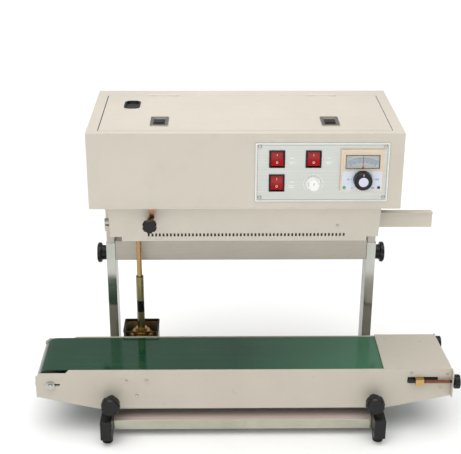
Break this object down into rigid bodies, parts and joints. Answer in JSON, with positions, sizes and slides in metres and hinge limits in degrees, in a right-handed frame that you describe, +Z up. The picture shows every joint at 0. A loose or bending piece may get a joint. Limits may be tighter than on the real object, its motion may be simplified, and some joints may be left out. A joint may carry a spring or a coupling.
{
  "type": "continuous band sealer",
  "caption": "Benchtop vertical continuous band sealer: a sealing head with control panel slides on two posts above a belt conveyor on a welded base.",
  "frame": {"origin": "bottom centre of the overall box, on the plane that the rubber feet stand on", "axes": "+X along the conveyor towards the infeed end, +Y away from the operator, +Z up"},
  "size_m": [0.806, 0.33, 0.6186],
  "materials": {
    "casing_paint": "satin, fine texture",
    "conveyor_paint": "satin, fine texture",
    "polished_steel": "mirror polished",
    "brushed_steel": "brushed",
    "panel_aluminium": "brushed",
    "aluminium_block": "machined",
    "brass": "turned",
    "zinc_steel": "yellow zinc",
    "belt_pvc": "glossy",
    "band_ptfe": "coated glass cloth",
    "black_plastic": "moulded",
    "rubber": "matt",
    "switch_red": "gloss",
    "cream_plastic": "moulded",
    "white_plastic": "gloss",
    "pointer_red": "gloss",
    "motor_paint": "satin"
  },
  "bodies": {
    "base": {"base_frame": "polished_steel", "rail_end_caps": "black_plastic", "rubber_feet": "rubber", "post_left": "polished_steel", "post_right": "polished_steel", "cross_beam": "brushed_steel", "conveyor_brackets": "brushed_steel"},
    "conveyor": {"conveyor_front_plate": "conveyor_paint", "conveyor_rear_plate": "conveyor_paint", "conveyor_bed": "conveyor_paint", "conveyor_end_cover": "conveyor_paint", "conveyor_belt": "belt_pvc", "conveyor_hardware": "brushed_steel", "tension_blocks": "brass", "gear_guard": "black_plastic"},
    "drive_roller": {"drive_roller": "rubber", "roller_bevel_gear": "brass"},
    "idler_roller": {"idler_roller": "brushed_steel"},
    "tail_roller": {"tail_roller": "brushed_steel"},
    "drive_shaft": {"shaft_sleeve": "zinc_steel", "shaft_bevel_gear": "brass"},
    "tension_knob_front": {"tension_knob_front": "black_plastic"},
    "tension_knob_rear": {"tension_knob_rear": "black_plastic"},
    "clamp_knob_left": {"clamp_knob_left": "black_plastic"},
    "clamp_knob_right": {"clamp_knob_right": "black_plastic"},
    "post_knob_left": {"post_knob_left": "black_plastic"},
    "post_knob_right": {"post_knob_right": "black_plastic"},
    "head": {"head_shell": "casing_paint", "head_base_plate": "casing_paint", "carriage_legs": "casing_paint", "front_guard": "casing_paint", "rear_guard": "casing_paint", "infeed_guide": "casing_paint", "control_panel": "panel_aluminium", "head_hardware": "brushed_steel", "switch_bezels": "black_plastic", "controller_housing": "cream_plastic", "heating_blocks": "aluminium_block", "cooling_blocks": "aluminium_block", "sealing_bands": "band_ptfe", "drive_motor": "motor_paint", "power_inlet": "black_plastic"},
    "lid": {"lid": "casing_paint"},
    "lid_latch_left": {"lid_latch_left": "black_plastic"},
    "lid_latch_right": {"lid_latch_right": "black_plastic"},
    "power_switch": {"power_switch": "switch_red"},
    "heater_switch": {"heater_switch": "switch_red"},
    "fan_switch": {"fan_switch": "switch_red"},
    "speed_knob": {"speed_knob": "white_plastic"},
    "controller_knob": {"controller_knob": "black_plastic"},
    "controller_pointer": {"controller_pointer": "pointer_red"},
    "pressure_knob": {"pressure_knob": "black_plastic"},
    "drive_rod": {"drive_rod": "brass"},
    "reversing_gear": {"reversing_gear": "brass"},
    "band_drive_wheel_front": {"band_drive_wheel_front": "rubber"},
    "band_drive_wheel_rear": {"band_drive_wheel_rear": "rubber"},
    "band_idler_wheel_front": {"band_idler_wheel_front": "aluminium_block"},
    "band_idler_wheel_rear": {"band_idler_wheel_rear": "aluminium_block"},
    "embossing_roller_front": {"embossing_roller_front": "rubber"},
    "embossing_roller_rear": {"embossing_roller_rear": "brushed_steel"}
  },
  "joints": [
    {"name": "head_lift", "type": "slide", "parent": "base", "child": "head", "axis": [0, 0, 1], "range_m": [-0.06, 0.025]},
    {"name": "conveyor_height", "type": "slide", "parent": "base", "child": "conveyor", "axis": [0, 0, 1], "range_m": [0, 0.015]},
    {"name": "drive_roller_spin", "type": "hinge", "parent": "conveyor", "child": "drive_roller", "pos_m": [-0.21, -0.053, 0.1083], "axis": [0, 1, 0], "continuous": true},
    {"name": "idler_roller_spin", "type": "hinge", "parent": "conveyor", "child": "idler_roller", "pos_m": [-0.3735, -0.053, 0.11], "axis": [0, 1, 0], "continuous": true},
    {"name": "tail_roller_spin", "type": "hinge", "parent": "conveyor", "child": "tail_roller", "pos_m": [0.327, -0.053, 0.1185], "axis": [0, 1, 0], "continuous": true},
    {"name": "drive_shaft_spin", "type": "hinge", "parent": "conveyor", "child": "drive_shaft", "pos_m": [-0.21, 0.043, 0.15], "axis": [0, 0, 1], "continuous": true},
    {"name": "tension_front_turn", "type": "hinge", "parent": "conveyor", "child": "tension_knob_front", "pos_m": [0.392, -0.125, 0.1185], "axis": [1, 0, 0], "range_deg": [-360, 360]},
    {"name": "tension_rear_turn", "type": "hinge", "parent": "conveyor", "child": "tension_knob_rear", "pos_m": [0.392, 0.0235, 0.1185], "axis": [1, 0, 0], "range_deg": [-360, 360]},
    {"name": "clamp_left_turn", "type": "hinge", "parent": "conveyor", "child": "clamp_knob_left", "pos_m": [-0.2585, -0.133, 0.08], "axis": [0, 1, 0], "range_deg": [0, 540]},
    {"name": "clamp_right_turn", "type": "hinge", "parent": "conveyor", "child": "clamp_knob_right", "pos_m": [0.2425, -0.133, 0.08], "axis": [0, 1, 0], "range_deg": [0, 540]},
    {"name": "post_lock_left_turn", "type": "hinge", "parent": "base", "child": "post_knob_left", "pos_m": [-0.288, 0.1056, 0.284], "axis": [1, 0, 0], "range_deg": [0, 540]},
    {"name": "post_lock_right_turn", "type": "hinge", "parent": "base", "child": "post_knob_right", "pos_m": [0.272, 0.1056, 0.284], "axis": [-1, 0, 0], "range_deg": [0, 540]},
    {"name": "lid_hinge", "type": "hinge", "parent": "head", "child": "lid", "pos_m": [-0.008, 0.0933, 0.616], "axis": [-1, 0, 0], "range_deg": [0, 100]},
    {"name": "latch_left_slide", "type": "slide", "parent": "lid", "child": "lid_latch_left", "axis": [0, 1, 0], "range_m": [0, 0.005], "stiffness_N_per_m": 150},
    {"name": "latch_right_slide", "type": "slide", "parent": "lid", "child": "lid_latch_right", "axis": [0, 1, 0], "range_m": [0, 0.005], "stiffness_N_per_m": 150},
    {"name": "power_switch_rock", "type": "hinge", "parent": "head", "child": "power_switch", "pos_m": [0.0463, -0.129, 0.5705], "axis": [1, 0, 0], "range_deg": [0, 18]},
    {"name": "heater_switch_rock", "type": "hinge", "parent": "head", "child": "heater_switch", "pos_m": [0.109, -0.129, 0.5705], "axis": [1, 0, 0], "range_deg": [0, 18]},
    {"name": "fan_switch_rock", "type": "hinge", "parent": "head", "child": "fan_switch", "pos_m": [0.0463, -0.129, 0.5268], "axis": [1, 0, 0], "range_deg": [0, 18]},
    {"name": "speed_knob_turn", "type": "hinge", "parent": "head", "child": "speed_knob", "pos_m": [0.1098, -0.133, 0.5256], "axis": [0, -1, 0], "range_deg": [-270, 0]},
    {"name": "temperature_set", "type": "hinge", "parent": "head", "child": "controller_knob", "pos_m": [0.1944, -0.133, 0.535], "axis": [0, -1, 0], "range_deg": [-270, 0]},
    {"name": "temperature_pointer", "type": "hinge", "parent": "head", "child": "controller_pointer", "pos_m": [0.1944, -0.137, 0.556], "axis": [0, 1, 0], "range_deg": [-45, 45]},
    {"name": "pressure_knob_turn", "type": "hinge", "parent": "head", "child": "pressure_knob", "pos_m": [-0.175, -0.133, 0.4507], "axis": [0, 1, 0], "range_deg": [-360, 360]},
    {"name": "drive_rod_spin", "type": "hinge", "parent": "head", "child": "drive_rod", "pos_m": [-0.21, 0.043, 0.4], "axis": [0, 0, 1], "continuous": true},
    {"name": "reversing_gear_spin", "type": "hinge", "parent": "head", "child": "reversing_gear", "pos_m": [-0.17653, 0.01, 0.489], "axis": [0, 0, 1], "continuous": true},
    {"name": "band_drive_wheel_front_spin", "type": "hinge", "parent": "head", "child": "band_drive_wheel_front", "pos_m": [-0.21, -0.077, 0.42], "axis": [0, 0, 1], "continuous": true},
    {"name": "band_drive_wheel_rear_spin", "type": "hinge", "parent": "head", "child": "band_drive_wheel_rear", "pos_m": [-0.21, -0.023, 0.42], "axis": [0, 0, 1], "continuous": true},
    {"name": "band_idler_wheel_front_spin", "type": "hinge", "parent": "head", "child": "band_idler_wheel_front", "pos_m": [0.162, -0.077, 0.42], "axis": [0, 0, 1], "continuous": true},
    {"name": "band_idler_wheel_rear_spin", "type": "hinge", "parent": "head", "child": "band_idler_wheel_rear", "pos_m": [0.162, -0.023, 0.42], "axis": [0, 0, 1], "continuous": true},
    {"name": "embossing_roller_front_spin", "type": "hinge", "parent": "head", "child": "embossing_roller_front", "pos_m": [-0.166, -0.0648, 0.42], "axis": [0, 0, 1], "continuous": true},
    {"name": "embossing_roller_rear_spin", "type": "hinge", "parent": "head", "child": "embossing_roller_rear", "pos_m": [-0.166, -0.0352, 0.42], "axis": [0, 0, 1], "continuous": true}
  ],
  "couplings": [
    {"joint": "idler_roller_spin", "follows": "drive_roller_spin", "ratio": 0.95636},
    {"joint": "tail_roller_spin", "follows": "drive_roller_spin", "ratio": 1.3842},
    {"joint": "drive_shaft_spin", "follows": "drive_roller_spin", "ratio": 1},
    {"joint": "drive_rod_spin", "follows": "drive_roller_spin", "ratio": 1},
    {"joint": "reversing_gear_spin", "follows": "drive_roller_spin", "ratio": -1.35},
    {"joint": "band_drive_wheel_rear_spin", "follows": "drive_roller_spin", "ratio": 1},
    {"joint": "band_drive_wheel_front_spin", "follows": "drive_roller_spin", "ratio": -1},
    {"joint": "band_idler_wheel_rear_spin", "follows": "drive_roller_spin", "ratio": 1},
    {"joint": "band_idler_wheel_front_spin", "follows": "drive_roller_spin", "ratio": -1},
    {"joint": "embossing_roller_rear_spin", "follows": "drive_roller_spin", "ratio": 1.9173},
    {"joint": "embossing_roller_front_spin", "follows": "drive_roller_spin", "ratio": -1.9173}
  ]
}
